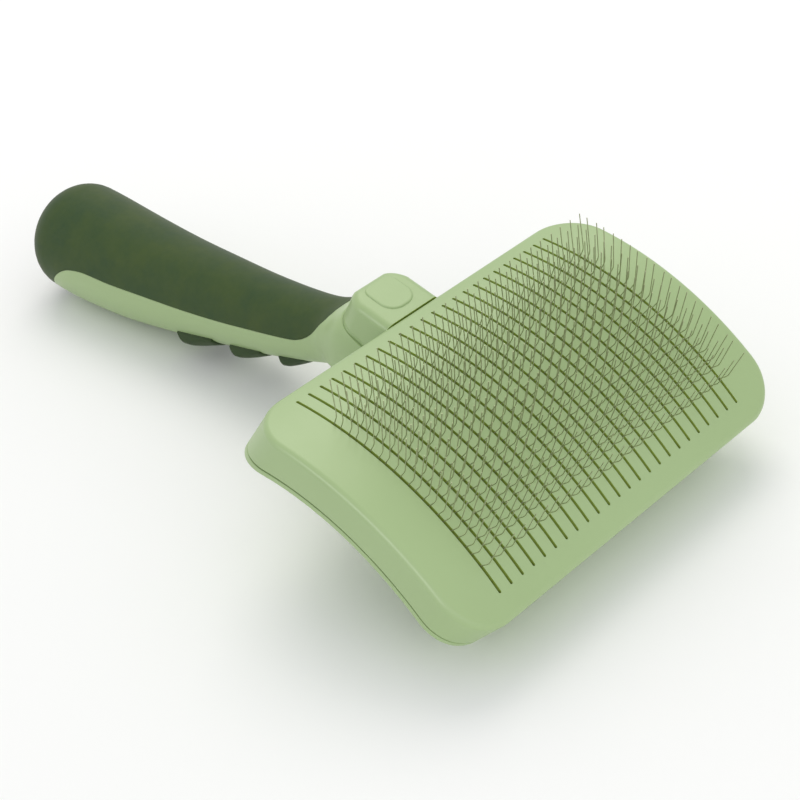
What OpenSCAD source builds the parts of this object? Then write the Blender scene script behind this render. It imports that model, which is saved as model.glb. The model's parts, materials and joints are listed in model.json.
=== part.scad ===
// Self-cleaning slicker brush. Rows of bent wire pins stand out of a curved, slotted head.
// Pressing the button on the neck pulls the whole pin carriage back behind the face, and a
// spring under the button returns it. The handle is two plastic shells under a rubber grip.
//
// Every piece is drawn in the head's own frame: X points from the handle to the far edge of
// the head, Y runs along the head, and Z is the normal at the middle of the face, which is at
// the origin. as_it_lies() then tips that frame so that the brush lies on z = 0, pins up, on
// the head's back and the underside of the butt.

/* [Head] */
// Length of the head across the handle, along Y
head_w = 114; // [112:0.5:118]
// Depth of the head along the handle, along X
head_d = 73.4; // [72.6:0.2:74]
// Radius of the curved face, about an axis along Y
face_r = 86.25; // [84:0.25:92]
// Radius of the head's corners, seen from above
corner_r = 12; // [10:0.5:13]
// Radius of the rounded edge round the face
edge_r = 1.8; // [1.4:0.2:2.4]
// Height of the face shell's side wall
skirt_h = 8.9; // [8.5:0.1:9.2]
// Thickness of the face and of the side wall
face_t = 2; // [1.6:0.1:2.2]
// Depth of the back cover below the middle of the face
cover_depth = 21.8; // [21.6:0.1:24]

/* [Slots and pins] */
// Number of slots, each with one row of pins
slot_count = 24; // [8:2:24]
// Spacing of the slots
slot_pitch = 3.75; // [3.75:0.05:3.8]
// Width of a slot
slot_w = 0.8; // [0.7:0.05:1]
// Half of the angle that a slot spans round the face
slot_half_angle = 22; // [21:0.5:22.5]
// Number of two-legged pins in a row
staple_count = 10; // [4:1:10]
// Spacing of the two-legged pins along a row
staple_pitch = 4.63; // [4.4:0.01:4.7]
// Spacing of the two legs of one pin
leg_gap = 2; // [1.6:0.1:2.4]
// Where the first leg of a row crosses the face, along the slot from its middle
first_leg = -21; // [-22:0.1:-20]
// Diameter of the pin wire
wire_d = 0.4; // [0.3:0.05:0.45]
// Height of the pin tips above the face
pin_h = 12.4; // [11:0.1:12.6]
// Height of the bend in a pin above the face
bend_h = 3; // [2:0.1:4]
// Lean of a pin below its bend, forward from the face's normal
lower_lean = 14; // [8:1:16]
// Lean of a pin above its bend, backward from the face's normal
upper_lean = 13; // [8:1:16]

/* [Button] */
// Travel of the button and of the pin carriage
travel = 12.4; // [11:0.1:12.4]
// Width of the button along Y, at its base
button_w = 19.8; // [19:0.1:20]
// Length of the button along X
button_l = 15.4; // [15:0.1:15.6]

/* [Handle] */
// Thickness of the rubber grip
grip_t = 2.6; // [2:0.1:3]
// Thickness of the handle's plastic shells
shell_t = 2.4; // [2:0.1:2.6]
// How far a finger rib stands out of the handle
rib_h = 2; // [1.4:0.1:2.6]

/* [Hidden] */
$fn = 48;
slot_no = [for (i = [1:slot_count]) i];
row_names = [for (i = slot_no) str("pin_row_", i < 10 ? "0" : "", i)];
rib_names = ["finger_rib_1", "finger_rib_2", "finger_rib_3"];

LIGHT = [0.64, 0.72, 0.54];
DARK = [0.24, 0.33, 0.22];
STEEL = [0.62, 0.62, 0.60];

eps = 0.01;
fit = 0.05;           // clearance of a sliding fit or of a screw in its hole
seam = 0.15;          // open line between two mouldings
far = 300;            // larger than the brush

// Depths below the face, measured along its radius
pad_top = face_t + 0.9;
pad_t = 1.7;
carrier_top = pad_top + pad_t;
carrier_t = 2;
carrier_bottom = carrier_top + carrier_t;
cover_t = 1.7;
floor_depth = cover_depth - cover_t;
rim_depth = skirt_h + seam;
band_h = 1;           // height of the back cover's upright rim

// Plan sizes. The walls lean: they run straight from the edge round the face to a foot plan
head_x = 0.9;         // middle of the head, ahead of the middle of the slots
half_x = head_d / 2;
wall_y = head_w / 2;
rear_x = head_x - half_x;
foot_z = -31;
foot_x = head_x - 5.8;
foot_half_x = half_x - 3.3;
foot_half_y = wall_y + 2.7;
foot_r = 11.5;
pad_rear = -24;
pad_front = 26;
last_row_y = (slot_count - 1) / 2 * slot_pitch;
pad_y = last_row_y + 0.62;
post_r = 1.8;
post_y = pad_y + 0.3 + post_r;
post_xs = [-10, 11.5];
carrier_y = post_y + post_r + 0.75;
cover_y = carrier_y + 0.4 + cover_t;    // half width of the back cover at its floor
cover_x = half_x - 8.5;                 // half depth of the back cover at its floor
cover_r = 14;                           // radius of the back cover's corners near its floor
screw_r = 0.85;

// Arm from the carrier to the button
arm_w = 12;
arm_end = -45;            // rear end of the carrier's arm, inside the button

// Pins
foot_rise = -carrier_top + wire_d / 2 + eps;
single_leg = leg_arc(staple_count, 0) + 0.6;

// Button and its spring
button_front = rear_x - 0.35;
button_rear = button_front - button_l;
button_bow = 1.3;            // how far the button's rear bows out behind its corners
relief_x = button_front + 0.4;
button_top = -8.2;           // height of the button's top at its front edge
button_slope = 9;          // fall of the button's top towards the handle, in degrees
button_base = -19.2;       // where the button enters the neck
button_foot = -22.4;       // bottom of the button's guide skirt
button_wall = 1.6;
button_screw_x = -40.4;
button_screw_y = 4;
button_screw_z = at_depth(abs(button_screw_x) + 1.6, carrier_bottom) - 0.8;
button_screw_l = 5.8;
spring_x = -44.6;
spring_r = 2.9;            // mean radius of the return spring
spring_top_z = -13;
spring_low_z = -35.4;
spring_wire_r = 0.4;
spring_coils = 7;

// Handle
boss_r = 3;
handle_screw_xs = [-88.2, -118];
rib_xs = [-104.3, -86.5, -71.1];    // where each finger rib starts, at its end near the butt
rib_lengths = [14, 11.4, 9.2];
// Stations from under the head to the butt: x, z, height up, height down, half width, and
// the exponent of the section, 2 for an ellipse and more for a boxier one
stations = [
    [-20, -21.5, 5, 6, 9.5, 3],
    [-30, -25.5, 10, 9.5, 11.4, 3],
    [-38, -28.2, 13.5, 10, 11.9, 3],
    [-46, -29.8, 13.5, 9.8, 11.9, 3],
    [-51, -31.8, 9.2, 9, 10.4, 2.5],
    [-56, -35.2, 8.6, 8.4, 8.6, 2.1],
    [-66, -42.2, 9.3, 9.8, 9.3, 2],
    [-80, -50.6, 10.3, 11.8, 10.3, 2],
    [-95, -59, 11.7, 13.2, 11.7, 2],
    [-111, -68, 13.4, 14.4, 13.4, 2],
    [-127, -76, 15.1, 15.6, 14.9, 2],
    [-142, -82.4, 16.2, 15.9, 15.9, 2],
    [-149.3, -85.2, 16.3, 15.3, 16.1, 2]];
low_radii = [for (s = stations) if (s[0] < -60) [-s[0], s[3]]];
butt_length = 12.3;        // how far the rounded butt runs past the last station
ring_sides = 24;
rings_between = 3;
dome_rings = 6;
neck_end = 5;              // the station where the handle's hollow starts

// Heights over X of the face and of the surfaces parallel to it
function at_depth(x, depth) = sqrt(pow(face_r - depth, 2) - x * x) - face_r;

// ---- The brush as it lies -------------------------------------------------------------

// It rests on the back cover's lower far edge and on the underside of the butt
edge_x = head_x + cover_x;
edge_z = at_depth(edge_x, cover_depth);
rest_tilt = max([for (ring = handle_rings(0, 9)) for (p = ring)
    atan((edge_z - p[2]) / (edge_x - p[0]))]);
function lies_x(p) = p[0] * cos(rest_tilt) + p[2] * sin(rest_tilt);
function lies_z(p) = p[2] * cos(rest_tilt) - p[0] * sin(rest_tilt);

// Foremost point of the head's rounded edge or of the last pin's tip, and hindmost of the butt
ball_x = head_x + half_x - edge_r;
front_x = max(lies_x([ball_x, 0, at_depth(ball_x, edge_r)]) + edge_r,
    lies_x(pin_point(single_leg, 2)) + wire_d / 2);
back_x = min([for (ring = handle_rings(0, 0)) for (p = ring) lies_x(p)]);
low_z = lies_z([edge_x, 0, edge_z]);

module as_it_lies() {
    translate([-(front_x + back_x) / 2, 0, -low_z]) rotate([0, rest_tilt, 0]) children();
}

// ---- Head -----------------------------------------------------------------------------

// A solid between two depths below the face, as long as the head
module depth_band(shallow, deep) {
    difference() {
        depth_cylinder(shallow);
        depth_cylinder(deep);
    }
}

module depth_cylinder(depth) {
    translate([0, 0, -face_r]) rotate([90, 0, 0])
        cylinder(r = face_r - depth, h = 2 * head_w, center = true, $fn = 180);
}

module rounded_plan(half_x, half_y, r) {
    union() {
        square([2 * (half_x - r), 2 * half_y], center = true);
        square([2 * half_x, 2 * (half_y - r)], center = true);
        for (sx = [-1, 1], sy = [-1, 1])
            translate([sx * (half_x - r), sy * (half_y - r)]) circle(r);
    }
}

// Points round a rounded rectangle, closer together along X, where the face curves
function plan_points(half_x, half_y, r) = concat(
    [for (sy = [-1, 1]) for (k = [-5:5]) [k / 5 * (half_x - r), sy * half_y]],
    [for (sx = [-1, 1], sy = [-1, 1]) for (a = [22.5:22.5:90])
        [sx * (half_x - r + r * sin(a)), sy * (half_y - r + r * cos(a))]]);

// The head's outer form, with a rounded edge and walls that run down to the foot plan
module head_form() {
    hull() {
        for (p = plan_points(half_x - edge_r, wall_y - edge_r, corner_r - edge_r))
            translate([p[0] + head_x, p[1], at_depth(p[0] + head_x, edge_r)]) sphere(edge_r, $fn = 32);
        translate([foot_x, 0, foot_z]) linear_extrude(1)
            rounded_plan(foot_half_x, foot_half_y, foot_r);
    }
}

// The space within the head's walls, drawn in by their thickness
module inside_walls(wall) {
    lean = 4.1;           // how much further ahead the front wall would stand at z = 0
    hull() {
        translate([head_x + lean / 2 + 0.5, 0, 0]) linear_extrude(1)
            rounded_plan(half_x + lean / 2 - 0.5 - wall * 1.05, wall_y - 0.2 - wall, corner_r - wall);
        translate([foot_x, 0, foot_z - 1]) linear_extrude(1)
            rounded_plan(foot_half_x - wall * 1.05, foot_half_y - 0.8 - wall, foot_r - wall);
    }
}

module slot_prism(y) {
    half = face_r * sin(slot_half_angle) - slot_w / 2;
    translate([0, y, -20]) linear_extrude(30) {
        square([2 * half, slot_w], center = true);
        for (sx = [-1, 1]) translate([sx * half, 0]) circle(slot_w / 2, $fn = 24);
    }
}

module face_shell() {
    color(LIGHT) as_it_lies() {
        difference() {
            head_form();
            depth_cylinder(skirt_h);
            intersection() {
                depth_cylinder(face_t);
                inside_walls(face_t);
            }
            for (i = slot_no) slot_prism(row_y(i));
            button_relief();
            arm_window();
        }
        for (x = post_xs, sy = [-1, 1]) guide_post(x, sy * post_y);
    }
}

// A post that the pin carrier slides on, and that a head screw goes up into
module guide_post(x, y) {
    low = at_depth(abs(x) - post_r, floor_depth - fit);
    top = at_depth(abs(x) + post_r, face_t) + 1;
    difference() {
        translate([x, y, low]) cylinder(r = post_r, h = top - low);
        translate([x, y, low - 1]) cylinder(r = screw_r + fit, h = 13);
    }
}

// A flat in the rear wall, so that the button passes it at an even gap
module button_relief() {
    translate([relief_x - 5, -button_w / 2 - 0.4, -40])
        cube([5, button_w + 0.8, 40 + at_depth(half_x, 0) - 2.5]);
}

// The opening that the carrier's arm moves in, through the rear walls
module arm_window() {
    low = at_depth(rear_x, carrier_bottom) - travel - 2.5;
    top = at_depth(rear_x + face_t + 1, carrier_top) + 0.5;
    translate([rear_x - 5, -arm_w / 2 - 0.5, low]) cube([14.5, arm_w + 1, top - low]);
}

// The back cover's solid form, drawn in by wall. Below its rim it tucks in to the floor
module cover_form(wall) {
    band = rim_depth + band_h;
    tuck = band + 4.6;
    rim_y = wall_y + 0.9;
    tuck_y = cover_y + 1.2;
    front = head_x + half_x - 3.6;
    rear = rear_x - 1.1;
    floor_front = head_x + cover_x;
    floor_rear = head_x - cover_x;
    side = [[0, rim_y + 3 - wall], [band - wall / 2, rim_y - wall],
        [tuck - wall * 0.55, tuck_y - wall * 0.92], [cover_depth - wall, cover_y - wall]];
    intersection() {
        depth_cylinder(rim_depth - wall);
        if (wall == 0) head_form();
        else inside_walls(wall);
        translate([0, 0, -face_r]) rotate([90, 0, 0]) rotate_extrude($fn = 180) polygon(concat(
            [for (p = side) [face_r - p[0], -p[1]]],
            [for (k = [len(side) - 1:-1:0]) [face_r - side[k][0], side[k][1]]]));
        rotate([90, 0, 0]) linear_extrude(2 * head_w, center = true) polygon([
            [rear - 3 + wall * 1.37, 0],
            [rear + wall * 1.37, at_depth(rear, band)],
            [floor_rear + wall * 1.37, at_depth(floor_rear, cover_depth)],
            [floor_rear + wall * 1.37, -60],
            [floor_front - wall * 1.05, -60],
            [floor_front - wall * 1.05, at_depth(floor_front, cover_depth)],
            [front - wall * 1.05, at_depth(front, band)],
            [front + 9 - wall * 1.05, 0]]);
        hull() {
            translate([head_x - 2, 0, -18]) linear_extrude(far)
                rounded_plan(half_x + 6 - wall, wall_y + 2 - wall, corner_r + 3 - wall);
            translate([head_x, 0, -31]) linear_extrude(1)
                rounded_plan(cover_x + 1 - wall, cover_y + 1 - wall, cover_r - wall);
        }
    }
}

module back_cover() {
    color(LIGHT) as_it_lies() difference() {
        cover_form(0);
        cover_form(cover_t);
        arm_window();
        button_relief();
        for (x = post_xs, sy = [-1, 1]) screw_hole(x, sy * post_y);
    }
}

module screw_hole(x, y) {
    seat_z = at_depth(abs(x), cover_depth) + 0.7;
    translate([x, y, seat_z - 10]) cylinder(r = 1.6 + fit, h = 10);
    translate([x, y, seat_z - 10]) cylinder(r = screw_r + fit, h = 20);
}

// A pan-head screw, its head's top at the origin and its point up
module screw(shank_r, head_r, head_h, length) {
    difference() {
        union() {
            cylinder(r = head_r, h = head_h);
            cylinder(r = shank_r, h = length);
        }
        for (a = [0, 90]) rotate(a) translate([-head_r * 0.65, -0.2, -eps])
            cube([head_r * 1.3, 0.4, head_h * 0.6]);
    }
}

module head_screws() {
    color(STEEL) as_it_lies() for (x = post_xs, sy = [-1, 1]) {
        seat_z = at_depth(abs(x), cover_depth) + 0.7;
        translate([x, sy * post_y, seat_z - 0.7 - fit]) screw(screw_r, 1.6, 0.7, 9);
    }
}

// ---- Pin carriage -----------------------------------------------------------------------

function row_y(i) = (i - (slot_count + 1) / 2) * slot_pitch;

// A leg's place along the slot: two legs to each staple, and one single pin at the end
function leg_arc(staple, leg) = first_leg + staple * staple_pitch + leg * leg_gap;

// The three points of a leg: its foot under the pad, its bend and its tip
function leg_rise(k) = [foot_rise, bend_h, pin_h][k];
function leg_shift(k) = k < 2 ? leg_rise(k) * tan(lower_lean)
    : bend_h * tan(lower_lean) - (pin_h - bend_h) * tan(upper_lean);
function pin_point(arc, k) =
    let (a = arc / face_r * 180 / PI, rise = face_r + leg_rise(k), shift = leg_shift(k))
    [rise * sin(a) + shift * cos(a), 0, rise * cos(a) - shift * sin(a) - face_r];

function unit(v) = v / norm(v);

// Puts its children at a point of the XZ plane, with Z in a direction in that plane
module along(point, dir) {
    translate(point) rotate([0, atan2(dir[0], dir[2]), 0]) children();
}

// A round wire through the points of a path in the XZ plane, with mitred bends
module bent_wire(path) {
    last = len(path) - 1;
    for (k = [0:last - 1]) {
        dir = unit(path[k + 1] - path[k]);
        dir_before = k == 0 ? dir : unit(path[k] - path[k - 1]);
        dir_after = k == last - 1 ? dir : unit(path[k + 2] - path[k + 1]);
        length = norm(path[k + 1] - path[k]);
        intersection() {
            // Turned so that no seam of the round wire lies in the plane of its bends
            along(path[k], dir) translate([0, 0, -wire_d]) rotate(90)
                cylinder(r = wire_d / 2, h = length + 2 * wire_d, $fn = 16);
            along(path[k], dir + dir_before) translate([-20, -20, 0]) cube(40);
            along(path[k + 1], dir + dir_after) translate([-20, -20, -40]) cube(40);
        }
    }
}

module pin_row(i) {
    color(STEEL) as_it_lies() translate([0, row_y(i), 0]) {
        for (s = [0:staple_count - 1])
            bent_wire(concat([for (k = [2:-1:0]) pin_point(leg_arc(s, 0), k)],
                [for (k = [0:2]) pin_point(leg_arc(s, 1), k)]));
        bent_wire(concat([for (k = [2:-1:0]) pin_point(single_leg, k)],
            [pin_point(single_leg - leg_gap / 2, 0)]));
    }
}

// A plate parallel to the face, between two depths and two places along X
module curved_plate(top, bottom, rear, front, half_y, r) {
    intersection() {
        depth_band(top, bottom);
        translate([(front + rear) / 2, 0, -40]) linear_extrude(60)
            rounded_plan((front - rear) / 2, half_y, r);
    }
}

module pin_pad() {
    color(DARK) as_it_lies() curved_plate(pad_top, carrier_top - eps, pad_rear, pad_front, pad_y, 3);
}

// The plate under the pad, with two ears on each side for the guide posts, and the button's arm
module pin_carrier() {
    color(LIGHT) as_it_lies() difference() {
        union() {
            curved_plate(carrier_top, carrier_bottom, pad_rear, pad_front, pad_y + 0.9, 4);
            curved_plate(carrier_top, carrier_bottom, post_xs[0] - 5, post_xs[1] + 5, carrier_y, 3);
            curved_plate(carrier_top, carrier_bottom, arm_end, pad_rear + 4, arm_w / 2, 0.5);
        }
        for (x = post_xs, sy = [-1, 1]) translate([x, sy * post_y, -40])
            cylinder(r = post_r + fit, h = 60);
        for (sy = [-1, 1]) translate([button_screw_x, sy * button_screw_y, -40])
            cylinder(r = screw_r + fit, h = 60);
        translate([spring_x, 0, -40]) cylinder(r = spring_r + 0.9, h = 60);
    }
}

// ---- Button -----------------------------------------------------------------------------

function button_top_z(x) = button_top + (x - button_front) * tan(button_slope);

// Plan of the button at its base, straight in front and bowed behind, grown all round
module button_plan(grow) {
    side = button_w / 2;
    rear_r = 4;
    hull() {
        translate([button_front - 1, -side - grow]) square([1 + grow, button_w + 2 * grow]);
        for (k = [-1:1]) translate([button_rear + rear_r + button_bow * abs(k), k * (side - rear_r)])
            circle(rear_r + grow);
    }
}

// The button's outer form above the neck, drawn in a little towards its top
module button_form() {
    top_r = 2.6;
    side = button_w / 2 - 0.5;
    front = [button_front + 1.4, side - top_r];
    rear = [button_rear + 0.9 + top_r, 0];
    corner = [rear[0] + button_bow, side - 4.5];
    turn = [corner[0] + 1.8, side - top_r];
    hull() {
        for (p = [front, rear, corner, turn], sy = [-1, 1])
            translate([p[0], sy * p[1], button_top_z(p[0]) - top_r]) sphere(top_r, $fn = 24);
        translate([0, 0, button_base]) linear_extrude(1) button_plan(0);
    }
}

// Plan of the button's guide skirt, drawn in by inset
module skirt_plan(inset) {
    translate([(button_front + button_rear) / 2, 0])
        rounded_plan(button_l / 2 - 0.5 - inset, 7.9 - inset, 3);
}

module button() {
    color(LIGHT) as_it_lies() difference() {
        union() {
            difference() {
                button_form();
                translate([button_front, -20, -60]) cube([10, 40, 80]);
            }
            translate([0, 0, button_foot]) linear_extrude(button_base - button_foot + 1) skirt_plan(0);
            thumb_pad();
        }
        translate([0, 0, button_foot - 1]) linear_extrude(spring_top_z - button_foot + 1) difference() {
            skirt_plan(button_wall);
            for (sy = [-1, 1]) translate([button_screw_x, sy * button_screw_y]) circle(2);
        }
        arm_slot();
        for (sy = [-1, 1]) translate([button_screw_x, sy * button_screw_y, button_foot - 1])
            cylinder(r = screw_r + fit, h = button_screw_z + button_screw_l + 0.5 - button_foot + 1);
    }
}

// Where the carrier's arm enters the button from the front
module arm_slot() {
    intersection() {
        depth_cylinder(carrier_top - fit);
        translate([arm_end - fit, -arm_w / 2 - fit, button_foot - 1]) cube([20, arm_w + 2 * fit, 40]);
    }
}

// The raised thumb pad on top of the button
module thumb_pad() {
    pad_x = (button_front + button_rear) / 2 - 0.1;
    raise = 0.35;
    translate([pad_x, 0.3, button_top_z(pad_x)]) rotate([0, -button_slope, 0])
        translate([0, 0, -1]) linear_extrude(1 + raise) rounded_plan(5.4, 5, 3);
}

module button_screws() {
    color(STEEL) as_it_lies() for (sy = [-1, 1])
        translate([button_screw_x, sy * button_screw_y, button_screw_z])
            screw(screw_r, 1.6, 0.8, button_screw_l);
}

// ---- Return spring ----------------------------------------------------------------------

module return_spring() {
    steps = 14;
    sides = 8;
    count = spring_coils * steps;
    height = spring_top_z - spring_low_z - 2 * spring_wire_r - 0.1;
    rings = [for (i = [0:count]) let (a = i * 360 / steps)
        [for (k = [0:sides - 1]) let (b = k * 360 / sides, r = spring_r + spring_wire_r * cos(b))
            [spring_x + r * cos(a), r * sin(a),
             spring_low_z + 0.05 + spring_wire_r + height * i / count + spring_wire_r * sin(b)]]];
    color(STEEL) as_it_lies() loft(rings);
}

// A closed solid through rings that all have the same number of points
module loft(rings) {
    n = len(rings[0]);
    m = len(rings);
    points = [for (ring = rings) for (p = ring) p];
    sides = [for (i = [0:m - 2]) for (k = [0:n - 1])
        let (a = i * n + k, b = i * n + (k + 1) % n)
        for (t = [[a, b, a + n], [b, b + n, a + n]]) t];
    ends = [[for (k = [n - 1:-1:0]) k], [for (k = [0:n - 1]) (m - 1) * n + k]];
    polyhedron(points, concat(sides, ends));
}

// ---- Handle -----------------------------------------------------------------------------

// A smooth curve through the stations (Catmull-Rom)
function station_at(i, t) =
    let (last = len(stations) - 1, p0 = stations[max(i - 1, 0)], p1 = stations[i],
         p2 = stations[min(i + 1, last)], p3 = stations[min(i + 2, last)])
    0.5 * (2 * p1 + (p2 - p0) * t + (2 * p0 - 5 * p1 + 4 * p2 - p3) * t * t
        + (3 * p1 - p0 - 3 * p2 + p3) * t * t * t);

function signed_power(v, e) = sign(v) * pow(abs(v), e);

// One section: centre s, up and down heights, scaled by k, across the direction [dx, dz]
function section(s, dir, inset, k) =
    let (up = [-dir[1], dir[0]], e = 2 / s[5])
    [for (j = [0:ring_sides - 1])
        let (a = j * 360 / ring_sides + 360 / ring_sides / 2,
             c = signed_power(cos(a), e), v = signed_power(sin(a), e),
             rise = ((v > 0 ? s[2] : s[3]) - inset) * v * k)
        [s[0] + up[0] * rise, (s[4] - inset) * c * k, s[1] + up[1] * rise]];

function toward_head(a, b) = let (d = [a[0] - b[0], a[1] - b[1]]) d / norm(d);

// All sections of the handle, drawn in by inset, from one station on to the butt
function handle_rings(inset, first) =
    let (last = len(stations) - 1,
         path = [for (i = [first:last - 1]) for (t = [0:rings_between - 1]) station_at(i, t / rings_between)],
         spine = concat(path, [stations[last]]),
         m = len(spine) - 1,
         tail = toward_head(spine[m - 1], spine[m]))
    concat(
        [for (i = [0:m])
            section(spine[i], toward_head(spine[max(i - 1, 0)], spine[min(i + 1, m)]), inset, 1)],
        [for (i = [1:dome_rings])
            let (a = min(i * 90 / dome_rings, 88), reach = (butt_length - inset) * sin(a), s = spine[m])
            section([s[0] - tail[0] * reach, s[1] - tail[1] * reach, s[2], s[3], s[4], s[5]],
                tail, inset, cos(a))]);

module handle_form(inset, first) {
    loft(handle_rings(inset, first));
}

// Side view of all that is above the line between grip and shell, lowered by drop
module above_seam(drop) {
    line = [[-54.8, 0], [-55.2, -22], [-56.6, -28.5], [-58, -33.2], [-60.6, -37.2], [-64, -40],
        [-75, -46.9], [-86.6, -53.7], [-98.7, -60], [-111.2, -65.9], [-124, -71.9], [-133, -75.6],
        [-137.6, -78.2], [-140.8, -81], [-143.6, -85.5], [-145.4, -91], [-146.2, -99], [-146.4, -120]];
    rotate([90, 0, 0]) linear_extrude(80, center = true)
        polygon(concat([for (p = line) p - [0, drop]], [[-200, -120], [-200, 0]]));
}

module grip() {
    color(DARK) as_it_lies() difference() {
        intersection() {
            handle_form(0, neck_end - 1);
            above_seam(0);
        }
        handle_form(grip_t, neck_end - 1);
    }
}

module handle_core() {
    reach = 3;             // how far the core reaches down inside the lower shell
    color(LIGHT) as_it_lies() difference() {
        union() {
            difference() {
                intersection() {
                    handle_form(grip_t + fit, neck_end);
                    above_seam(reach);
                }
                handle_form(grip_t + shell_t, neck_end);
            }
            for (x = handle_screw_xs) intersection() {
                handle_form(grip_t + shell_t - eps, neck_end);
                at_handle(x) translate([0, 0, fit]) cylinder(r = boss_r, h = 20);
            }
        }
        translate([-68, -20, -60]) cube([20, 40, 60]);
        for (x = handle_screw_xs) at_handle(x) translate([0, 0, -1]) cylinder(r = screw_r + fit, h = 8);
    }
}

// Puts its children on the handle's middle line at x, with Z across the handle
module at_handle(x) {
    i = [for (k = [0:len(stations) - 2]) if (stations[k][0] >= x && stations[k + 1][0] < x) k][0];
    a = stations[i];
    b = stations[i + 1];
    dir = toward_head(a, b);
    translate([x, 0, a[1] + (b[1] - a[1]) * (x - a[0]) / (b[0] - a[0])])
        rotate([0, -atan2(dir[1], dir[0]), 0]) children();
}

module handle_shell() {
    color(LIGHT) as_it_lies() difference() {
        union() {
            difference() {
                handle_form(0, 0);
                above_seam(seam);
                handle_form(shell_t, neck_end + 1);
                button_well();
            }
            for (x = handle_screw_xs) intersection() {
                handle_form(shell_t - eps, neck_end);
                at_handle(x) translate([0, 0, -20]) cylinder(r = boss_r, h = 20);
            }
        }
        translate([-55, -20, -19.2]) cube([60, 40, 40]);
        head_space();
        arm_window();
        for (x = handle_screw_xs) at_handle(x) {
            translate([0, 0, -20]) cylinder(r = screw_r + fit, h = 21);
            translate([0, 0, -22]) cylinder(r = 1.9 + fit, h = 14);
        }
    }
}

// The well in the neck that the button sinks into, open towards the head
module button_well() {
    gap = 0.2;
    wide_floor = button_base - travel - 0.6;
    translate([0, 0, wide_floor]) linear_extrude(40) button_plan(gap);
    translate([relief_x - 4, -button_w / 2 - gap, wide_floor]) cube([4, button_w + 2 * gap, 40]);
    translate([0, 0, spring_low_z]) linear_extrude(40)
        translate([(button_front + button_rear) / 2, 0]) rounded_plan(button_l / 2, 8.3, 3);
}

// What the head takes up of the neck's space
module head_space() {
    rim_x = rear_x - 1.3;
    floor_z = at_depth(head_x - cover_x, cover_depth);
    hull() {
        translate([head_x - cover_x - fit, -cover_y, floor_z - fit]) cube([cover_x, 2 * cover_y, 1]);
        translate([rim_x, -wall_y, at_depth(rim_x, rim_depth + band_h) - fit])
            cube([half_x, head_w, 40]);
    }
    depth_cylinder(cover_depth + fit);
}

module handle_screws() {
    color(STEEL) as_it_lies() for (x = handle_screw_xs) at_handle(x)
        translate([0, 0, -9.3]) screw(screw_r, 1.9, 1.2, 14);
}

// A soft finger rib across the underside, steep towards the butt and sloping off to the head
module finger_rib(i) {
    length = rib_lengths[i];
    r = lookup(-rib_xs[i], low_radii);
    end_r = lookup(-rib_xs[i] - length * 0.87, low_radii);
    side = end_r * sin(48);
    color(DARK) as_it_lies() difference() {
        at_handle(rib_xs[i]) rotate([0, 90, 0]) rotate_extrude($fn = 64)
            polygon([[r - 3, 0], [r, 0], [r + rib_h * 0.75, 0.5], [r + rib_h, 2],
                [(r + end_r) / 2 + rib_h * 0.8, length * 0.45], [end_r, length], [r - 3, length]]);
        handle_form(-0.02, neck_end);
        at_handle(rib_xs[i]) translate([-30, -30, -r * 0.3]) cube(60);
        for (sy = [-1, 1]) at_handle(rib_xs[i]) translate([-30, sy * (side + 30) - 30, -50]) cube(60);
    }
}

face_shell();
back_cover();
head_screws();
handle_shell();
handle_core();
handle_screws();
grip();
return_spring();
pin_carrier();
pin_pad();
button();
button_screws();
for (i = [0:len(rib_names) - 1]) finger_rib(i);
for (i = slot_no) pin_row(i);
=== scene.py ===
"""The slicker brush's looks: smooth moulded shells, bent wire pins, rubber grip and soft studio light.

Shapes are built in millimetres in the head's own frame, as in part.scad: X runs from the handle
to the far edge of the head, Y along the head, and Z is the normal at the middle of the face.
to_row() then tips them into the row frame, in metres.
"""

import json
import math
import random

import bmesh
import bpy
import numpy as np
from mathutils import Matrix, Vector


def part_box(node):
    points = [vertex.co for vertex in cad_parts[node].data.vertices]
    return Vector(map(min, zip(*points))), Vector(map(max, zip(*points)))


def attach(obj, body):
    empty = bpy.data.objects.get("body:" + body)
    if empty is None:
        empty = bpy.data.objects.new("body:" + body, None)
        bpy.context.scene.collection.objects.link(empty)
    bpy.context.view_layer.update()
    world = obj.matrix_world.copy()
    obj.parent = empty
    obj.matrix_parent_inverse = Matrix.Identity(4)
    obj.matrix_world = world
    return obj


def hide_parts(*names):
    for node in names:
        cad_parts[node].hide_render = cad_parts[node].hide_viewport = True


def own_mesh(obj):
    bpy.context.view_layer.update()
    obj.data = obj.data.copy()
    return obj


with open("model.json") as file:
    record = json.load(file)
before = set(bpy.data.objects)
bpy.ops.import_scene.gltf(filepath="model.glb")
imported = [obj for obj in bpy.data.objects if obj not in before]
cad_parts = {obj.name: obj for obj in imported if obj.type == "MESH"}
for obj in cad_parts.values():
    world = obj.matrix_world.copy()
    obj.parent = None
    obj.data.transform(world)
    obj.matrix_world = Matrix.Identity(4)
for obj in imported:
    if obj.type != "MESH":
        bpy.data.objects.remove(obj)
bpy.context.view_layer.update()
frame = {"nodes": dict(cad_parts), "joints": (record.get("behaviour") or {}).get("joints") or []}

# ---- Sizes, as in part.scad -------------------------------------------------------------

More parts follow.
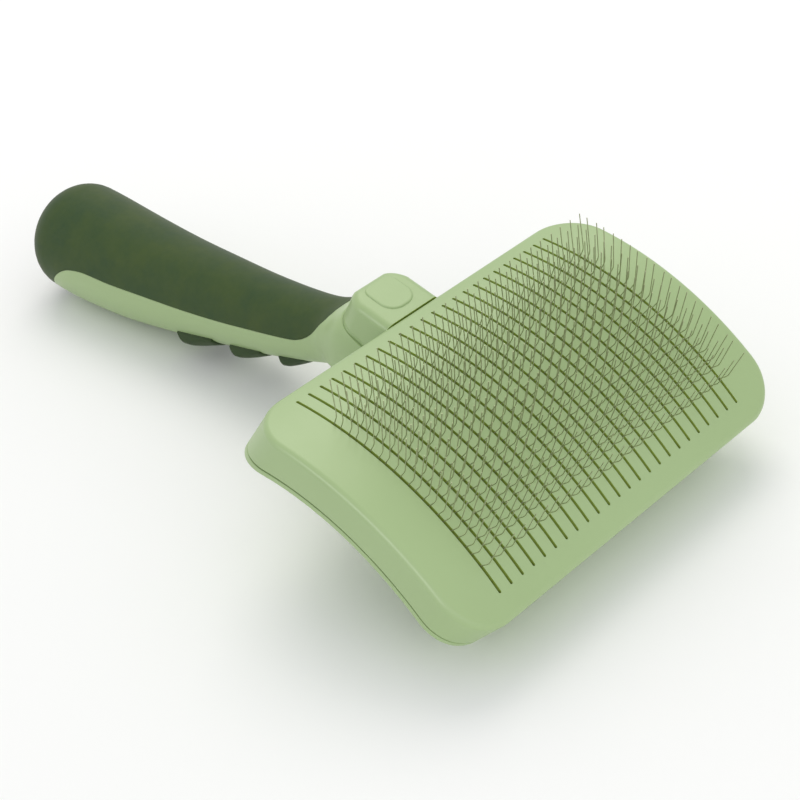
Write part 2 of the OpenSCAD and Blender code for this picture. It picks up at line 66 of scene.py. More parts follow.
HEAD_W, HEAD_D, HEAD_X = 114.0, 73.4, 0.9
FACE_R = 86.25
CORNER_R, EDGE_R = 12.0, 1.8
FOOT_DROP, FOOT_X, FOOT_D, FOOT_W, FOOT_R = 28.0, -4.1, 68.2, 120.4, 9.5
SKIRT_H, FACE_T = 8.9, 2.0
COVER_DEPTH, COVER_T = 21.8, 1.7
HALF_X, WALL_Y = HEAD_D / 2, HEAD_W / 2
REAR_X = HEAD_X - HALF_X
RIM_DEPTH, BAND_H = SKIRT_H + 0.25, 1.2
COVER_X, COVER_R = HALF_X - 8.5, 13.0
SLOTS, SLOT_PITCH, SLOT_W, SLOT_HALF = 24, 3.75, 0.72, math.radians(22)
STAPLES, STAPLE_PITCH, LEG_GAP, FIRST_LEG = 10, 4.63, 2.0, -21.0
WIRE_D, PIN_H, BEND_H = 0.4, 12.4, 3.0
# The visible wires are thinner than the CAD's, as the photo shows them
WIRE_SEEN = 0.25
LOWER_LEAN, UPPER_LEAN = math.radians(14), math.radians(13)
PAD_TOP = FACE_T + 0.9
CARRIER_TOP = PAD_TOP + 1.7
PAD_REAR, PAD_FRONT = -24.0, 26.0
PAD_Y = (SLOTS - 1) / 2 * SLOT_PITCH + 0.62
POST_R, SCREW_R, SCREW_HEAD_R, FIT = 1.8, 0.85, 1.6, 0.05
POST_Y = PAD_Y + 0.3 + POST_R
POST_XS = (-10.0, 11.5)
COVER_Y = POST_Y + POST_R + 0.75 + 0.4 + COVER_T
ARM_W = 12.0
TRAVEL = 12.4
BUTTON_W, BUTTON_L, BUTTON_BOW = 19.8, 15.4, 1.3
BUTTON_REAR_R, BUTTON_AHEAD, RELIEF = 5.0, 4.0, 0.4
BUTTON_FRONT = REAR_X - 0.35
BUTTON_REAR = BUTTON_FRONT - BUTTON_L
BUTTON_TOP, BUTTON_SLOPE = -8.2, math.radians(9)
BUTTON_BASE, BUTTON_FOOT = -19.2, -22.4
SPRING_X, SPRING_TOP, SPRING_LOW = -44.6, -13.0, -35.4
GRIP_T, SHELL_T = 2.6, 2.4
SCREW_XS = (-88.2, -118.0)
BUTT_LENGTH = 12.3
# The handle's sections: x and z of the middle line, reach up, down and sideways, and squareness
STATIONS = [
    (-20, -21.5, 5, 6, 9.5, 3),
    (-30, -25.5, 10, 9.5, 11.4, 3),
    (-38, -28.2, 13.5, 10, 11.9, 3),
    (-46, -29.8, 13.5, 6.8, 11.9, 3),
    (-51, -31.8, 9.2, 7.2, 10.4, 2.5),
    (-56, -35.2, 8.6, 8.4, 8.6, 2.1),
    (-66, -42.2, 9.3, 9.8, 9.3, 2),
    (-80, -50.6, 10.3, 11.8, 10.3, 2),
    (-95, -59, 11.7, 13.2, 11.7, 2),
    (-111, -68, 13.4, 14.4, 13.4, 2),
    (-127, -76, 15.1, 15.6, 14.9, 2),
    (-142, -82.4, 16.2, 15.9, 15.9, 2),
    (-149.3, -85.2, 16.3, 15.3, 16.1, 2),
]
# (x, z) along the edge between the grip above and the shell below
SEAM_LINE = [(-54.8, 0), (-55.2, -22), (-56.6, -28.5), (-58, -33.2), (-60.6, -37.2), (-64, -40),
             (-75, -46.9), (-86.6, -53.7), (-98.7, -60), (-111.2, -65.9), (-124, -71.9), (-133, -75.6),
             (-137.6, -78.2), (-140.8, -81), (-143.6, -85.5), (-145.4, -91), (-146.2, -99), (-146.4, -120)]
RIB_XS = (-104.3, -86.5, -71.1)
RIB_LENGTHS = (14.0, 11.4, 9.2)
RIB_HALF_ANGLES = (49, 45, 41)
RIB_H, RIB_ROOT, RIB_EDGE = 2.0, 1.2, 0.25
# How far along X the ribs' part of the handle runs for each unit of its length
RIB_SLOPE = 0.865

# ---- From the head's frame to the row frame ---------------------------------------------

slide = Vector(frame["joints"][0]["axis"])
TILT = math.atan2(-slide.x, -slide.z)


def arc_z(x, depth):
    return math.sqrt((FACE_R - depth) ** 2 - x * x) - FACE_R


def tipped(p):
    x, y, z = p
    return (x * math.cos(TILT) + z * math.sin(TILT), y, z * math.cos(TILT) - x * math.sin(TILT))


pad_arc = [tipped((x, 0, arc_z(x, depth))) for depth in (PAD_TOP, CARRIER_TOP)
           for x in np.linspace(PAD_REAR, PAD_FRONT, 400)]
pad_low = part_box("pin_pad")[0] * 1000
SHIFT = (pad_low.x - min(p[0] for p in pad_arc), pad_low.z - min(p[2] for p in pad_arc))


def to_row(p):
    x, y, z = tipped(p)
    return Vector(((x + SHIFT[0]) / 1000, y / 1000, (z + SHIFT[1]) / 1000))


def row_direction(d):
    return Vector(tipped(d))


# ---- Materials --------------------------------------------------------------------------


class Nodes:
    """A short way to build a node material."""

    def __init__(self, name):
        self.material = bpy.data.materials.new(name)
        self.material.use_nodes = True
        self.tree = self.material.node_tree
        self.shader = self.tree.nodes["Principled BSDF"]
        self.coords = self.add("ShaderNodeTexCoord").outputs["Object"]

    def add(self, kind, **values):
        node = self.tree.nodes.new(kind)
        for key, value in values.items():
            if key in node.inputs:
                node.inputs[key].default_value = value
            else:
                setattr(node, key, value)
        return node

    def link(self, a, b):
        self.tree.links.new(a, b)

    def noise(self, scale, detail=4.0, roughness=0.55):
        node = self.add("ShaderNodeTexNoise", Scale=scale, Detail=detail, Roughness=roughness)
        self.link(self.coords, node.inputs["Vector"])
        return node.outputs["Fac"]

    def ramp(self, value, stops):
        node = self.add("ShaderNodeValToRGB")
        elements = node.color_ramp.elements
        while len(elements) < len(stops):
            elements.new(0.5)
        for element, (place, colour) in zip(elements, stops):
            element.position = place
            element.color = (*colour, 1)
        self.link(value, node.inputs["Fac"])
        return node.outputs["Color"]

    def span(self, value, low, high):
        node = self.add("ShaderNodeMapRange")
        node.inputs["To Min"].default_value = low
        node.inputs["To Max"].default_value = high
        self.link(value, node.inputs["Value"])
        return node.outputs["Result"]

    def bump(self, heights):
        """Chains bumps: (height output, strength, distance in metres)."""
        normal = None
        for height, strength, distance in heights:
            node = self.add("ShaderNodeBump", Strength=strength, Distance=distance)
            self.link(height, node.inputs["Height"])
            if normal:
                self.link(normal, node.inputs["Normal"])
            normal = node.outputs["Normal"]
        self.link(normal, self.shader.inputs["Normal"])

    def set(self, **values):
        for key, value in values.items():
            self.shader.inputs[key.replace("_", " ")].default_value = value


def srgb(r, g, b):
    return tuple((c / 255 / 12.92) if c <= 10 else ((c / 255 + 0.055) / 1.055) ** 2.4 for c in (r, g, b))


def plastic(name, low, high, roughness):
    """Moulded plastic: faint flow marks, a fine spark-eroded grain and uneven gloss."""
    m = Nodes(name)
    flow = m.noise(16, 3)
    m.link(m.ramp(flow, [(0.3, low), (0.7, high)]), m.shader.inputs["Base Color"])
    m.link(m.span(m.noise(260, 3), roughness - 0.05, roughness + 0.07), m.shader.inputs["Roughness"])
    m.bump([(flow, 0.05, 0.0004), (m.noise(2600, 2), 0.12, 0.00003)])
    m.set(IOR=1.49, Subsurface_Weight=0.0)
    return m.material


def rubber(name, low, high, sheen, tint):
    """Soft overmoulded rubber: cloudy colour, a matt grain and a dusty sheen at grazing angles."""
    m = Nodes(name)
    cloud = m.noise(75, 7, 0.68)
    m.link(m.ramp(cloud, [(0.3, low), (0.72, high)]), m.shader.inputs["Base Color"])
    m.link(m.span(m.noise(500, 3), 0.62, 0.78), m.shader.inputs["Roughness"])
    m.bump([(m.noise(60, 3), 0.06, 0.0004), (m.noise(2200, 3), 0.25, 0.00004)])
    m.set(Sheen_Weight=sheen, Sheen_Roughness=0.45, Sheen_Tint=(*tint, 1), Specular_IOR_Level=0.35)
    return m.material


def steel(name, low, high, roughness):
    """Drawn wire: streaks along it and a dull grey skin."""
    m = Nodes(name)
    streak = m.noise(900, 4, 0.6)
    m.link(m.ramp(streak, [(0.3, low), (0.7, high)]), m.shader.inputs["Base Color"])
    m.link(m.span(m.noise(1500, 2), roughness - 0.08, roughness + 0.1), m.shader.inputs["Roughness"])
    m.bump([(m.noise(3000, 2), 0.1, 0.00002)])
    m.set(Metallic=0.85)
    return m.material


SHELL = plastic("shell_plastic", srgb(157, 180, 127), srgb(163, 186, 134), 0.34)
# Painted shade: a deeper olive for the slots' walls and the narrow gaps at the button, standing in for their
# shadow and the light bounced inside them
SLOT_PAINTED_SHADE = plastic("slot_painted_shade", srgb(164, 184, 84), srgb(172, 192, 94), 0.5)
CORE = plastic("core_plastic", srgb(158, 182, 128), srgb(164, 188, 134), 0.5)
GRIP = rubber("grip_rubber", srgb(34, 64, 24), srgb(58, 78, 16), 0.3, srgb(160, 150, 160))
# The ribs' rubber is painted a little darker than the grip's: a painted shade for their darker lower sides
RIB_RUBBER_SHADED = rubber("rib_rubber", srgb(36, 58, 22), srgb(50, 70, 28), 0.2, srgb(150, 160, 140))
# The pin pad, seen only down the slots, is painted olive: a painted shade standing in for the dark inside
# the slots
PAD_PAINTED_SHADE = rubber("pad_rubber_painted_shade", srgb(128, 150, 44), srgb(142, 164, 56), 0.0, srgb(120, 140, 80))
# The pins' steel is grey with an olive tint; the tint is a painted reflection of the green head around the
# wires
PIN_WITH_REFLECTION_TINT = steel("pin_wire_reflection_tint", srgb(158, 164, 128), srgb(186, 190, 156), 0.42)
SPRING = steel("spring_wire", srgb(150, 150, 148), srgb(176, 176, 174), 0.3)
SCREW = steel("screw_steel", srgb(140, 140, 138), srgb(170, 170, 168), 0.35)

# ---- Mesh helpers -----------------------------------------------------------------------


def new_mesh(name, verts, faces, convert=True):
    mesh = bpy.data.meshes.new(name)
    mesh.from_pydata([to_row(v) if convert else v for v in verts], [], faces)
    mesh.validate()
    bm = bmesh.new()
    bm.from_mesh(mesh)
    bmesh.ops.remove_doubles(bm, verts=bm.verts, dist=1e-7)
    bmesh.ops.recalc_face_normals(bm, faces=bm.faces)
    bm.to_mesh(mesh)
    bm.free()
    obj = bpy.data.objects.new(name, mesh)
    bpy.context.scene.collection.objects.link(obj)
    return obj


def apply_modifiers(obj):
    graph = bpy.context.evaluated_depsgraph_get()
    graph.update()
    mesh = bpy.data.meshes.new_from_object(obj.evaluated_get(graph))
    obj.modifiers.clear()
    obj.data = mesh


def boolean(obj, cutters, operation="DIFFERENCE"):
    for cutter in cutters:
        mod = obj.modifiers.new("cut", "BOOLEAN")
        mod.operation = operation
        mod.object = cutter
        mod.solver = "EXACT"
        apply_modifiers(obj)
        bpy.data.objects.remove(cutter)
    return obj


def soften(obj, degrees=32):
    """Smooth shading with sharp edges where faces turn by more than the angle."""
    bm = bmesh.new()
    bm.from_mesh(obj.data)
    bmesh.ops.remove_doubles(bm, verts=bm.verts, dist=2e-7)
    bmesh.ops.dissolve_degenerate(bm, edges=bm.edges, dist=1e-7)
    limit = math.radians(degrees)
    for face in bm.faces:
        face.smooth = True
    for edge in bm.edges:
        edge.smooth = len(edge.link_faces) == 2 and edge.calc_face_angle(0) < limit
    bm.to_mesh(obj.data)
    bm.free()
    mod = obj.modifiers.new("normals", "WEIGHTED_NORMAL")
    mod.keep_sharp = True
    mod.weight = 70
    apply_modifiers(obj)
    return obj


def finish_piece(obj, material, slot, body, *nodes, degrees=32):
    soften(obj, degrees)
    obj.data.materials.clear()
    obj.data.materials.append(material)
    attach(obj, body)
    if nodes:
        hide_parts(*nodes)
    return obj


def tube_faces(rings, sides, base=0):
    """Faces of a closed tube: rings of points one after another, with a flat cap at each end."""
    faces = [tuple(base + k for k in range(sides))[::-1],
             tuple(base + (rings - 1) * sides + k for k in range(sides))]
    for ring in range(rings - 1):
        for k in range(sides):
            a, b = base + ring * sides + k, base + ring * sides + (k + 1) % sides
            faces.append((a, b, b + sides, a + sides))
    return faces


def prism(name, outline, low, high):
    """An upright prism on an outline of (x, y)."""
    verts = [(x, y, z) for z in (low, high) for x, y in outline]
    return new_mesh(name, verts, tube_faces(2, len(outline)))


def side_prism(name, outline, half_y):
    """A prism along Y on an outline of (x, z)."""
    verts = [(x, y, z) for y in (-half_y, half_y) for x, z in outline]
    return new_mesh(name, verts, tube_faces(2, len(outline)))


def box_cutter(name, low, high):
    (x0, y0, z0), (x1, y1, z1) = low, high
    return prism(name, [(x0, y0), (x1, y0), (x1, y1), (x0, y1)], z0, z1)


def rounded_outline(half_x, half_y, r, steps=12, centre=(0, 0)):
    points = []
    for sx, sy, start in ((1, 1, 0), (-1, 1, 90), (-1, -1, 180), (1, -1, 270)):
        for k in range(steps + 1):
            a = math.radians(start + 90 * k / steps)
            points.append((centre[0] + sx * (half_x - r) + r * math.cos(a),
                           centre[1] + sy * (half_y - r) + r * math.sin(a)))
    return points


def cylinder_between(name, a, b, r, sides=32):
    """A cylinder from a to b, in the head's frame."""
    a, b = Vector(a), Vector(b)
    along = (b - a).normalized()
    side = along.orthogonal().normalized()
    up = along.cross(side)
    verts = [end + (side * math.cos(t) + up * math.sin(t)) * r
             for end in (a, b) for t in (2 * math.pi * k / sides for k in range(sides))]
    return new_mesh(name, verts, tube_faces(2, sides))


def plan_chain(half_x, half_y, r, rear_r=None, steps_x=44, steps_c=18):
    """The far half (y > 0) of a rounded rectangle, from +X to -X: (x, y, normal x, normal y)."""
    rear_r = rear_r or r
    chain = []
    for k in range(steps_c + 1):
        a = math.pi / 2 * k / steps_c
        chain.append((half_x - r + r * math.cos(a), half_y - r + r * math.sin(a), math.cos(a), math.sin(a)))
    for k in range(1, steps_x):
        x = half_x - r - (2 * half_x - r - rear_r) * k / steps_x
        chain.append((x, half_y, 0.0, 1.0))
    for k in range(steps_c + 1):
        a = math.pi / 2 * (1 + k / steps_c)
        chain.append((-(half_x - rear_r) + rear_r * math.cos(a), half_y - rear_r + rear_r * math.sin(a),
                      math.cos(a), math.sin(a)))
    return chain


def capped_form(name, chain, profile):
    """A form with a ring of profile points for each point of the plan, and flat strips between
    the plan's two halves at the profile's start and end. profile(x, y, nx, ny) lists points."""
    ring = chain + [(x, -y, nx, -ny) for x, y, nx, ny in reversed(chain)]
    m, n = len(chain), len(ring)
    columns = [profile(*p) for p in ring]
    p = len(columns[0])
    verts = [v for column in columns for v in column]
    faces = []
    for j in range(n):
        k = (j + 1) % n
        for i in range(p - 1):
            faces.append((j * p + i, k * p + i, k * p + i + 1, j * p + i + 1))
    for j in range(m - 1):
        a, b, c, d = j, j + 1, n - 2 - j, n - 1 - j
        faces.append(tuple(v * p for v in (a, b, c, d))[::-1])
        faces.append(tuple(v * p + p - 1 for v in (a, b, c, d)))
    return new_mesh(name, verts, faces)


def slerp(a, b, t):
    """The direction a part t of the way round from a to b."""
    a, b = Vector(a).normalized(), Vector(b).normalized()
    angle = a.angle(b)
    if angle < 1e-6:
        return a
    return (a * math.sin((1 - t) * angle) + b * math.sin(t * angle)) / math.sin(angle)


def catmull_rom(p0, p1, p2, p3, t):
    """The point a part t of the way from p1 to p2 on a smooth curve through all four."""
    return 0.5 * (2 * p1 + (p2 - p0) * t + (2 * p0 - 5 * p1 + 4 * p2 - p3) * t * t
                  + (3 * p1 - p0 - 3 * p2 + p3) * t ** 3)


# ---- Head -------------------------------------------------------------------------------


def row_y(i):
    return (i - (SLOTS + 1) / 2) * SLOT_PITCH


def other_plan(x, y, nx, ny, plan, to_plan):
    """The point of one rounded rectangle that answers to a point of another.
    A plan is (half x, half y, corner radius)."""
    core = (x - nx * plan[2], y - ny * plan[2])
    spread = [(to_plan[k] - to_plan[2]) / (plan[k] - plan[2]) for k in (0, 1)]
    return core[0] * spread[0] + nx * to_plan[2], core[1] * spread[1] + ny * to_plan[2]


TOP_PLAN = (HALF_X - EDGE_R, WALL_Y - EDGE_R, CORNER_R - EDGE_R)
FOOT_PLAN = (FOOT_D / 2, FOOT_W / 2, FOOT_R)
COVER_PLAN = (COVER_X, COVER_Y, COVER_R)


def wall_line(x, y, nx, ny):
    """The wall's straight line below a point of the top's plan: its top, and its foot far below."""
    top = Vector((x + HEAD_X + nx * EDGE_R, y + ny * EDGE_R, arc_z(x + HEAD_X, EDGE_R)))
    foot = other_plan(x, y, nx, ny, TOP_PLAN, FOOT_PLAN)
    return top, Vector((foot[0] + FOOT_X, foot[1], -FOOT_DROP))


def wall_at(x, y, nx, ny, depth):
    """The wall's point at a depth below the face."""
    top, foot = wall_line(x, y, nx, ny)
    t = 0.2
    for _ in range(20):
        spot = top.lerp(foot, t)
        t += (spot.z - arc_z(spot.x, depth)) / (top.z - foot.z)
    return top.lerp(foot, t)


def face_profile(x, y, nx, ny):
    """From the face over its rounded edge, down the wall to the rim and up the inside."""
    centre = Vector((x + HEAD_X, y, arc_z(x + HEAD_X, EDGE_R)))
    lean = centre.x / (FACE_R - EDGE_R)
    up = (lean, 0, math.sqrt(1 - lean ** 2))
    out = Vector((nx, ny, 0))
    points = [centre + slerp(up, out, t) * EDGE_R for t in np.linspace(0, 1, 13)]
    rim = wall_at(x, y, nx, ny, SKIRT_H)
    points.append(points[-1].lerp(rim, 0.5))
    points.append(wall_at(x, y, nx, ny, SKIRT_H - 0.25))
    points.append(rim - out * 0.25)
    inner = rim - out * FACE_T
    points.append(Vector((inner.x, inner.y, arc_z(inner.x, SKIRT_H))))
    points.append(Vector((inner.x, inner.y, arc_z(inner.x, FACE_T))))
    return points


def slot_cutters():
    """All the slots' cutters as one mesh: upright prisms with rounded ends."""
    half = FACE_R * math.sin(SLOT_HALF) - SLOT_W / 2
    steps = 10
    verts, faces = [], []
    outline = []
    for end, start in ((1, -90), (-1, 90)):
        for k in range(steps + 1):
            a = math.radians(start + 180 * k / steps)
            outline.append((end * half + SLOT_W / 2 * math.cos(a), SLOT_W / 2 * math.sin(a)))
    n = len(outline)
    for i in range(1, SLOTS + 1):
        base = len(verts)
        verts += [(x, y + row_y(i), z) for z in (-14.0, 4.0) for x, y in outline]
        faces += tube_faces(2, n, base)
    return new_mesh("slots", verts, faces)


def arm_window_cutter():
    """The opening in the rear wall that the carrier's arm passes through on its way to the button."""
    low = arc_z(REAR_X, CARRIER_TOP + 2) - TRAVEL - 2.5
    return box_cutter("arm_window", (REAR_X - 4, -ARM_W / 2 - 0.5, low),
                      (REAR_X + 9.5, ARM_W / 2 + 0.5, arc_z(REAR_X + FACE_T, CARRIER_TOP) + 0.5))


def button_relief_cutter():
    """A flat in the rear wall, so that the button passes it at an even gap."""
    return box_cutter("relief", (BUTTON_FRONT - 4.6, -BUTTON_W / 2 - RELIEF, -40),
                      (BUTTON_FRONT + RELIEF, BUTTON_W / 2 + RELIEF, arc_z(HALF_X, 0) - 2.5))


def tube_post(x, y):
    """A guide post with its screw hole."""
    foot = arc_z(abs(x) - POST_R, COVER_DEPTH - COVER_T - FIT)
    top = arc_z(abs(x) + POST_R, FACE_T) + 0.6
    post = cylinder_between("post", (x, y, foot), (x, y, top), POST_R)
    return boolean(post, [cylinder_between("hole", (x, y, foot - 1), (x, y, foot + 12), SCREW_R + FIT)])


def join(objects, name):
    bm = bmesh.new()
    for obj in objects:
        bm.from_mesh(obj.data)
        bpy.data.objects.remove(obj)
    mesh = bpy.data.meshes.new(name)
    bm.to_mesh(mesh)
    bm.free()
    obj = bpy.data.objects.new(name, mesh)
    bpy.context.scene.collection.objects.link(obj)
    return obj


def paint_shade_in_slots(shell):
    """The slots' walls and the flat that faces the button get a painted shade: a deeper olive
    that stands in for their shadow and the light bounced between the plastic's sides."""
    shell.data.materials.append(SLOT_PAINTED_SHADE)
    reach = FACE_R * math.sin(SLOT_HALF)
    up = row_direction((0, 0, 1))
    inward = Matrix((row_direction((1, 0, 0)), (0, 1, 0), up))
    middle = to_row((0, 0, 0))
    for face in shell.data.polygons:
        spot = inward @ (face.center - middle) * 1000
        on_flat = abs(spot.x - BUTTON_FRONT - RELIEF) < 0.1 and abs(spot.y) < BUTTON_W / 2 + 0.5
        off = min(abs(spot.y - row_y(i)) for i in range(1, SLOTS + 1))
        upright = abs(face.normal.dot(up)) < 0.3
        in_slot = upright and abs(spot.x) < reach + 0.1 and spot.z > -12 and off < SLOT_W
        if on_flat or in_slot:
            face.material_index = 1


def make_face():
    face = capped_form("face_form", plan_chain(*TOP_PLAN), face_profile)
    boolean(face, [slot_cutters(), arm_window_cutter(), button_relief_cutter()])
    posts = [tube_post(x, s * POST_Y) for x in POST_XS for s in (-1, 1)]
    shell = join([face] + posts, "face_shell_moulding")
    finish_piece(shell, SHELL, "shell", "brush_body", "face_shell")
    paint_shade_in_slots(shell)


def cover_curve():
    """(how far in across X, how far in across Y, depth): 0 is at the rim and 1 at the floor's edge.
    The outside and the inside, each from the rim down."""
    band = RIM_DEPTH + BAND_H
    outside = [(0.01, 0.01, RIM_DEPTH), (0.0, 0.0, RIM_DEPTH + 0.12), (0.0, 0.0, band - 0.2),
               (0.02, 0.04, band), (0.08, 0.16, band + 0.35), (0.27, 0.7, band + 3.4),
               (0.34, 0.83, band + 4.6), (0.5, 0.92, band + 6.8), (0.82, 0.985, COVER_DEPTH - 2),
               (0.93, 1.0, COVER_DEPTH - 0.9), (1.03, 1.05, COVER_DEPTH - 0.25), (1.16, 1.15, COVER_DEPTH)]
    inside = [(0.18, 0.22, RIM_DEPTH), (0.25, 0.33, band), (0.5, 1.07, band + 3.6),
              (1.1, 1.22, COVER_DEPTH - COVER_T)]
    return outside, inside


def cover_profile(x, y, nx, ny):
    """From the floor up the outside to the rim, and down the inside to the floor again."""
    points = []
    outside, inside = cover_curve()
    floor = other_plan(x, y, nx, ny, TOP_PLAN, COVER_PLAN)
    for in_x, in_y, depth in outside[::-1] + inside:
        rim = wall_at(x, y, nx, ny, min(depth, RIM_DEPTH + BAND_H))
        px = rim.x * (1 - in_x) + (floor[0] + HEAD_X) * in_x
        py = rim.y * (1 - in_y) + floor[1] * in_y
        points.append(Vector((px, py, arc_z(px, depth))))
    return points


def make_cover():
    cover = capped_form("cover_form", plan_chain(*TOP_PLAN), cover_profile)
    cutters = [arm_window_cutter(), button_relief_cutter()]
    for x in POST_XS:
        seat = arc_z(abs(x), COVER_DEPTH) + 0.7
        for y in (-POST_Y, POST_Y):
            below, above = (x, y, seat - 10), (x, y, seat + 10)
            cutters.append(cylinder_between("seat", below, (x, y, seat), SCREW_HEAD_R + FIT))
            cutters.append(cylinder_between("hole", below, above, SCREW_R + FIT))
    boolean(cover, cutters)
    finish_piece(cover, SHELL, "shell", "brush_body", "back_cover")


# ---- Pins -------------------------------------------------------------------------------


def pin_point(arc, k, dx=0.0, dy=0.0):
    """Foot, bend or tip of a leg, with a small set at the tip."""
    a = arc / FACE_R
    rise = (-CARRIER_TOP + WIRE_D / 2 + 0.01, BEND_H, PIN_H)[k]
    shift = rise * math.tan(LOWER_LEAN)
    y = 0.0
    if k == 2:
        shift = BEND_H * math.tan(LOWER_LEAN) - (PIN_H - BEND_H) * math.tan(UPPER_LEAN) + dx
        y = dy
    r = FACE_R + rise
    return Vector((r * math.sin(a) + shift * math.cos(a), y, r * math.cos(a) - shift * math.sin(a) - FACE_R))


def rounded_path(points, radii):
    """The path with each inner corner rounded by a short curve that starts radii[k] before it."""
    path = [points[0]]
    for k in range(1, len(points) - 1):
        before, corner, after = points[k - 1], points[k], points[k + 1]
        start = corner + (before - corner).normalized() * radii[k]
        end = corner + (after - corner).normalized() * radii[k]
        for t in np.linspace(0, 1, 6):
            path.append(start * (1 - t) ** 2 + corner * 2 * t * (1 - t) + end * t * t)
    return path + [points[-1]]


def sweep(path, r, sides=7):
    """Points and faces of a round wire along a path near the XZ plane."""
    verts = []
    for k, point in enumerate(path):
        along = (path[min(k + 1, len(path) - 1)] - path[max(k - 1, 0)]).normalized()
        across = Vector((0, 1, 0))
        up = along.cross(across).normalized()
        across = up.cross(along).normalized()
        verts += [point + (across * math.cos(t) + up * math.sin(t)) * r
                  for t in (2 * math.pi * j / sides for j in range(sides))]
    return verts, tube_faces(len(path), sides)


def make_pins():
    wild = random.Random(7)
    for i in range(1, SLOTS + 1):
        verts, faces = [], []

        def add(path):
            v, f = sweep(path, WIRE_SEEN / 2)
            base = len(verts)
            verts.extend([(p.x, p.y + row_y(i), p.z) for p in v])
            faces.extend([tuple(base + k for k in face) for face in f])

        def leg(arc):
            dx = max(-0.35, min(0.35, wild.gauss(0, 0.14)))
            dy = max(-0.16, min(0.16, wild.gauss(0, 0.08)))
            return [pin_point(arc, k, dx, dy) for k in range(3)]

        for s in range(STAPLES):
            first = FIRST_LEG + s * STAPLE_PITCH
            a, b = leg(first), leg(first + LEG_GAP)
            add(rounded_path([a[2], a[1], a[0], b[0], b[1], b[2]], (0, 0.9, 0.5, 0.5, 0.9, 0)))
        last = FIRST_LEG + STAPLES * STAPLE_PITCH + 0.6
        a = leg(last)
        add(rounded_path([a[2], a[1], a[0], pin_point(last - LEG_GAP / 2, 0)], (0, 0.9, 0.4, 0)))
        row = new_mesh("pins_%02d" % i, verts, faces)
        finish_piece(row, PIN_WITH_REFLECTION_TINT, "pin", "pin_carriage", "pin_row_%02d" % i, degrees=60)


# ---- Button -----------------------------------------------------------------------------


def button_top_z(x):
    return BUTTON_TOP + (x - BUTTON_FRONT) * math.tan(BUTTON_SLOPE)


def bowed(x, y):
    """The button's rear side bows out towards the handle."""
    return x - BUTTON_BOW * (1 - (2 * y / BUTTON_W) ** 2) * min(1.0, -x / 4) if x < 0 else x


def button_profile(x, y, nx, ny):
    """From the sloping top over a rounded edge and down the sides to the base."""
    mid = (BUTTON_FRONT + BUTTON_AHEAD + BUTTON_REAR + BUTTON_BOW) / 2
    r = 2.6
    draft = 0.6 * abs(ny) + 0.5 * max(0.0, -nx)
    x = bowed(x, y)
    out = Vector((nx, ny, 0))
    edge = Vector((x + mid, y, 0)) - out * (r + draft)
    centre = Vector((edge.x, edge.y, button_top_z(edge.x) - r))
    up = (-math.sin(BUTTON_SLOPE), 0, math.cos(BUTTON_SLOPE))
    points = [centre + slerp(up, out, t) * r for t in np.linspace(0, 1, 11)]
    foot = Vector((x + mid, y, BUTTON_BASE))
    points.append(points[-1].lerp(foot, 0.5))
    points.append(foot)
    return points


def well_outline(grow):
    """The button's plan at its base, grown all round."""
    mid = (BUTTON_FRONT + BUTTON_REAR + BUTTON_BOW) / 2
    return [(bowed(x, y) + mid, y) for x, y in rounded_outline(
        (BUTTON_L - BUTTON_BOW) / 2 + grow, BUTTON_W / 2 + grow, BUTTON_REAR_R + grow)]


def make_button():
    half_x = (BUTTON_L - BUTTON_BOW + BUTTON_AHEAD) / 2
    chain = plan_chain(half_x, BUTTON_W / 2, 3.5, BUTTON_REAR_R, steps_x=12, steps_c=14)
    button = capped_form("button_form", chain, button_profile)
    boolean(button, [box_cutter("front", (BUTTON_FRONT, -20, -40), (BUTTON_FRONT + 20, 20, 10))])
    mid = (BUTTON_FRONT + BUTTON_REAR) / 2
    skirt = prism("skirt", well_outline(-0.05), BUTTON_FOOT, BUTTON_BASE + 1)
    boolean(button, [skirt], "UNION")
    hollow = rounded_outline(BUTTON_L / 2 - 2.1, 6.3, 3, centre=(mid, 0))
    boolean(button, [prism("hollow", hollow, BUTTON_FOOT - 1, SPRING_TOP)])

    pad_x, tilt = mid - 0.1, BUTTON_SLOPE
    pad_chain = plan_chain(5.3, 4.9, 4.2, 2.6, steps_x=8, steps_c=12)

    def pad_profile(x, y, nx, ny):
        out = Vector((nx, ny, 0))
        points = []
        for inset, height in ((0.55, 0.36), (0.3, 0.33), (0.12, 0.24), (0.02, 0.1), (0, 0), (0, -1)):
            spot = Vector((x, y, 0)) - out * inset
            points.append(Vector((pad_x + spot.x * math.cos(tilt) - height * math.sin(tilt), 0.3 + spot.y,
                                  button_top_z(pad_x) + spot.x * math.sin(tilt) + height * math.cos(tilt))))
        return points

    boolean(button, [capped_form("thumb", pad_chain, pad_profile)], "UNION")
    finish_piece(button, SHELL, "shell", "pin_carriage", "button", degrees=28)
    # The button's front face, across the narrow gap from the head, gets the olive painted shade
    button.data.materials.append(SLOT_PAINTED_SHADE)
    ahead = row_direction((1, 0, 0))
    for face in button.data.polygons:
        if face.normal.dot(ahead) > 0.99:
            face.material_index = 1


# ---- Handle -----------------------------------------------------------------------------


def station_at(i, t):
    """The handle's sizes a part t of the way from station i to the next."""
    last = len(STATIONS) - 1
    p0, p1, p2, p3 = (np.array(STATIONS[max(0, min(last, k))], float) for k in (i - 1, i, i + 1, i + 2))
    return catmull_rom(p0, p1, p2, p3, t)


